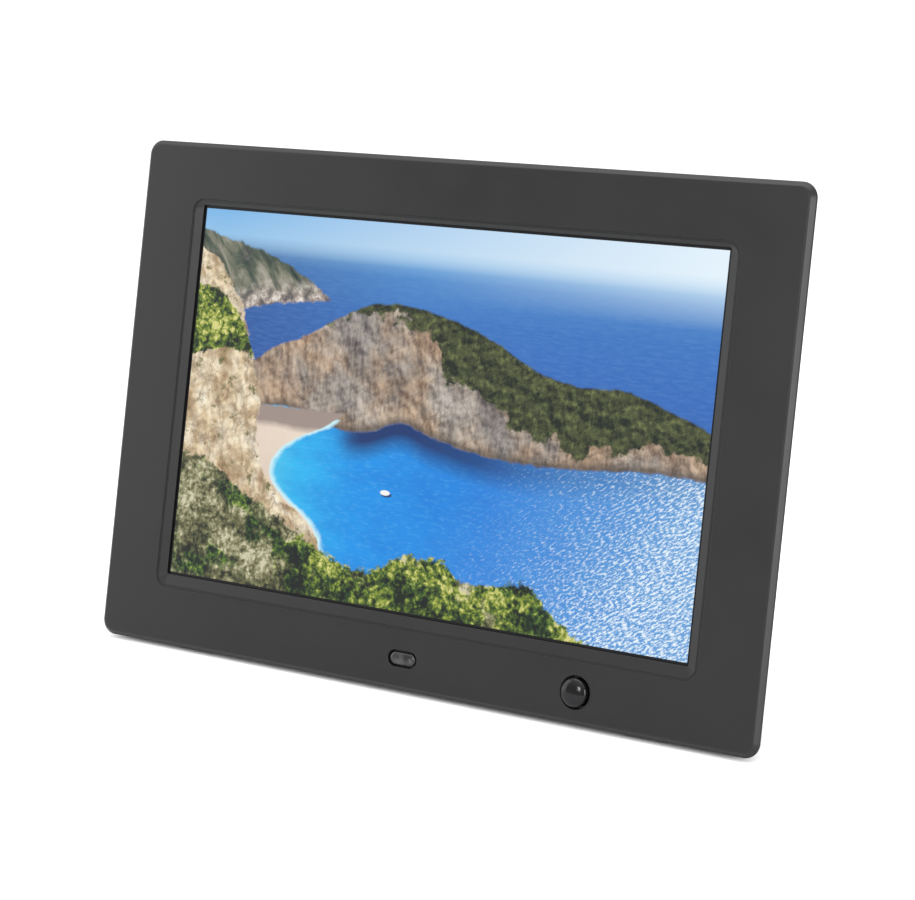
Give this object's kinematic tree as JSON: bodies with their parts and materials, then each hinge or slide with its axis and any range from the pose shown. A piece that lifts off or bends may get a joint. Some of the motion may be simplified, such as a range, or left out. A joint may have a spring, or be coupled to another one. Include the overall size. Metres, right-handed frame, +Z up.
{
  "type": "digital photo frame",
  "caption": "Wide black digital photo frame with a lit display, infrared window, motion-sensor dome, keys and sockets on the back, and a folding rear leg.",
  "frame": {"origin": "on the surface it stands on, under the centre of its bounding box", "axes": "-Y out of the display towards the viewer, +X to the viewer's right, +Z up"},
  "size_m": [0.2754, 0.0714, 0.1847],
  "materials": {
    "bezel_plastic": "satin black moulded plastic, faint grain",
    "cover_plastic": "fine spark-eroded texture, matte black",
    "leg_plastic": "matte black moulded plastic",
    "key_plastic": "satin black moulded plastic",
    "smoked_plastic": "polished smoked infrared-pass plastic",
    "dome_plastic": "polished black infrared-pass plastic",
    "rubber": "soft matte black rubber",
    "foam": "closed-cell black foam",
    "display": "matt polariser over a lit picture",
    "film": "white diffusing film",
    "acrylic": "clear acrylic plate",
    "steel": "bright zinc-plated steel",
    "black_steel": "black-coated steel",
    "screw_steel": "black oxide screw",
    "socket_metal": "nickel-plated shell",
    "socket_plastic": "black moulded socket body",
    "board": "green solder mask",
    "chip": "black moulded package",
    "capacitor_can": "bare aluminium can",
    "ribbon": "white flat cable",
    "speaker_plastic": "black speaker basket and cone",
    "led": "clear lamp lens on a white body"
  },
  "bodies": {
    "housing": {"front_bezel": "bezel_plastic", "ir_window": "smoked_plastic", "pir_lens": "dome_plastic", "screen_gasket": "foam", "lcd_panel": "display", "lcd_frame": "black_steel", "diffuser_films": "film", "light_guide": "acrylic", "led_strip": "led", "backlight_tray": "steel", "panel_bracket_left": "steel", "panel_bracket_right": "steel", "bracket_screw_left": "steel", "bracket_screw_right": "steel", "rear_cover": "cover_plastic", "case_screw_lower_left": "screw_steel", "case_screw_lower_right": "screw_steel", "case_screw_upper_left": "screw_steel", "case_screw_upper_right": "screw_steel", "foot_left": "rubber", "foot_right": "rubber", "hinge_bracket": "steel", "friction_washer_left": "black_steel", "friction_washer_right": "black_steel", "hinge_pin": "steel", "retaining_clip": "steel", "key_board": "board", "main_board": "board", "board_screw_lower": "steel", "board_screw_upper": "steel", "processor_chip": "chip", "memory_chip": "chip", "power_coil": "chip", "smoothing_capacitor": "capacitor_can", "card_socket": "socket_metal", "usb_socket": "socket_metal", "mini_usb_socket": "socket_metal", "headphone_socket": "socket_plastic", "power_socket": "socket_plastic", "speaker_left": "speaker_plastic", "speaker_right": "speaker_plastic", "display_ribbon": "ribbon", "key_ribbon": "ribbon", "sensor_ribbon": "ribbon", "sensor_board": "board", "pir_sensor": "steel", "ir_receiver": "chip", "status_led": "led", "switch_power": "chip", "switch_menu": "chip", "switch_previous": "chip", "switch_play": "chip", "switch_next": "chip"},
    "leg": {"stand_leg": "leg_plastic", "leg_pad": "rubber"},
    "power_key": {"key_power": "key_plastic"},
    "menu_key": {"key_menu": "key_plastic"},
    "previous_key": {"key_previous": "key_plastic"},
    "play_key": {"key_play": "key_plastic"},
    "next_key": {"key_next": "key_plastic"}
  },
  "joints": [
    {"name": "leg_fold", "type": "hinge", "parent": "housing", "child": "leg", "pos_m": [0, 0.00622, 0.12092], "axis": [1, 0, 0], "range_deg": [-23.3, 0]},
    {"name": "power_press", "type": "slide", "parent": "housing", "child": "power_key", "axis": [0, -0.9823, 0.1874], "range_m": [0, 0.0006], "stiffness_N_per_m": 800, "springref_m": -0.0002},
    {"name": "menu_press", "type": "slide", "parent": "housing", "child": "menu_key", "axis": [0, -0.9823, 0.1874], "range_m": [0, 0.0006], "stiffness_N_per_m": 800, "springref_m": -0.0002},
    {"name": "previous_press", "type": "slide", "parent": "housing", "child": "previous_key", "axis": [0, -0.9823, 0.1874], "range_m": [0, 0.0006], "stiffness_N_per_m": 800, "springref_m": -0.0002},
    {"name": "play_press", "type": "slide", "parent": "housing", "child": "play_key", "axis": [0, -0.9823, 0.1874], "range_m": [0, 0.0006], "stiffness_N_per_m": 800, "springref_m": -0.0002},
    {"name": "next_press", "type": "slide", "parent": "housing", "child": "next_key", "axis": [0, -0.9823, 0.1874], "range_m": [0, 0.0006], "stiffness_N_per_m": 800, "springref_m": -0.0002}
  ]
}
